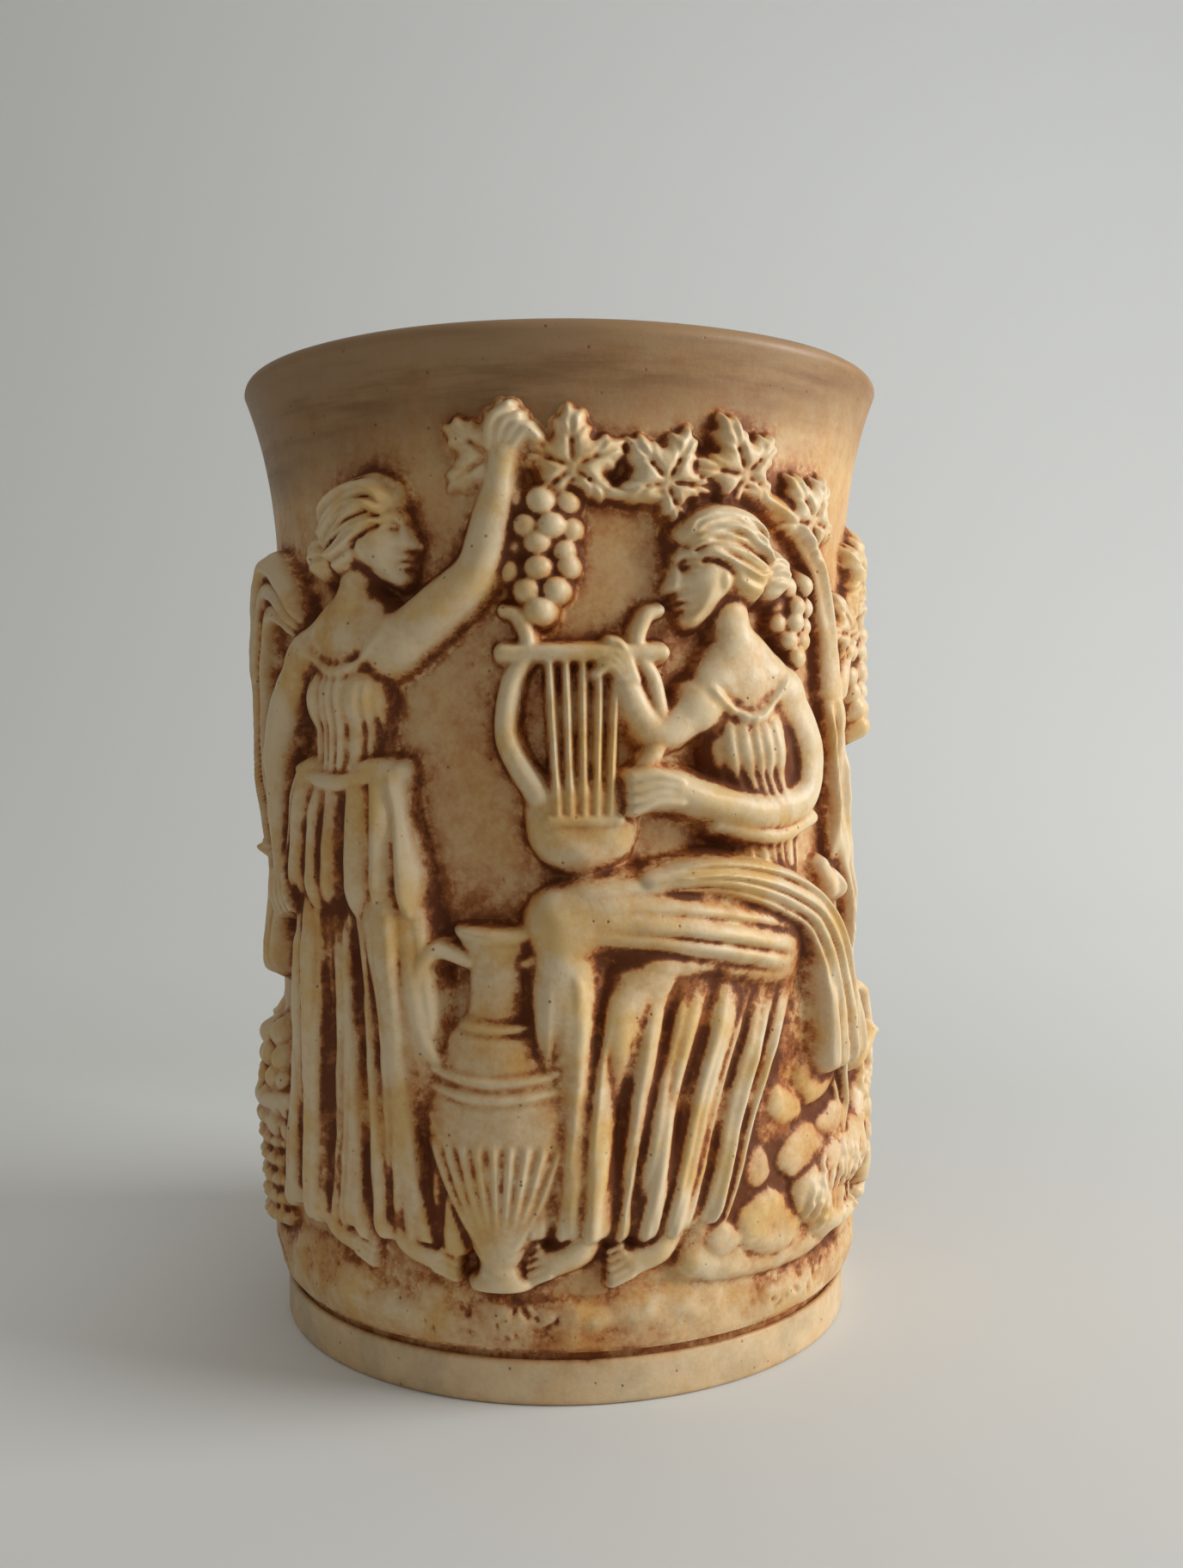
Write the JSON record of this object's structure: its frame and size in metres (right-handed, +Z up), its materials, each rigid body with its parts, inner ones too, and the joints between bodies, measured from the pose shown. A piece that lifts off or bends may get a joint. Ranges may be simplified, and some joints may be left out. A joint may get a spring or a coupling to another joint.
{
  "type": "terracotta planter",
  "caption": "Cast clay planter with a flared rim, grooved plinth foot and drained floor, wrapped in a high-relief grape harvest frieze of figures, vine, goat, jar and basket.",
  "frame": {"origin": "centre of the foot's underside, on the pot's axis", "axes": "+Z up along the pot's axis, -Y is the front that the picture shows, +X is the viewer's right"},
  "size_m": [0.1232, 0.127, 0.18],
  "materials": {
    "ivory_clay": "satin, ivory with a brown wash in the recesses",
    "ochre_washed_clay": "satin, ochre wash over ivory",
    "umber_washed_clay": "matt, umber wash over pitted ivory"
  },
  "bodies": {
    "root": {"pot_wall": "ivory_clay", "foot_ring": "ivory_clay", "pot_floor": "ochre_washed_clay", "ground_band": "umber_washed_clay", "front_amphora": "ivory_clay", "front_seated_body": "ivory_clay", "front_lyre": "ochre_washed_clay", "front_seated_mantle": "ochre_washed_clay", "front_seated_skirt": "ivory_clay", "front_standing_body": "ivory_clay", "front_standing_skirt": "ivory_clay", "front_standing_veil": "ochre_washed_clay", "front_goat": "ivory_clay", "front_basket": "ochre_washed_clay", "front_basket_grapes": "ivory_clay", "front_grape_bunch_held": "ivory_clay", "front_grape_bunch_hanging": "ivory_clay", "front_grape_bunch_right": "ivory_clay", "front_vine_trunk": "umber_washed_clay", "front_vine_branch_left": "ochre_washed_clay", "front_vine_branch_right": "ochre_washed_clay", "front_vine_tip_leaf": "ochre_washed_clay", "front_seat_rock": "umber_washed_clay", "back_amphora": "ivory_clay", "back_seated_body": "ivory_clay", "back_lyre": "ochre_washed_clay", "back_seated_mantle": "ochre_washed_clay", "back_seated_skirt": "ivory_clay", "back_standing_body": "ivory_clay", "back_standing_skirt": "ivory_clay", "back_standing_veil": "ochre_washed_clay", "back_goat": "ivory_clay", "back_basket": "ochre_washed_clay", "back_basket_grapes": "ivory_clay", "back_grape_bunch_held": "ivory_clay", "back_grape_bunch_hanging": "ivory_clay", "back_grape_bunch_right": "ivory_clay", "back_vine_trunk": "umber_washed_clay", "back_vine_branch_left": "ochre_washed_clay", "back_vine_branch_right": "ochre_washed_clay", "back_vine_tip_leaf": "ochre_washed_clay", "back_seat_rock": "umber_washed_clay"}
  },
  "joints": []
}
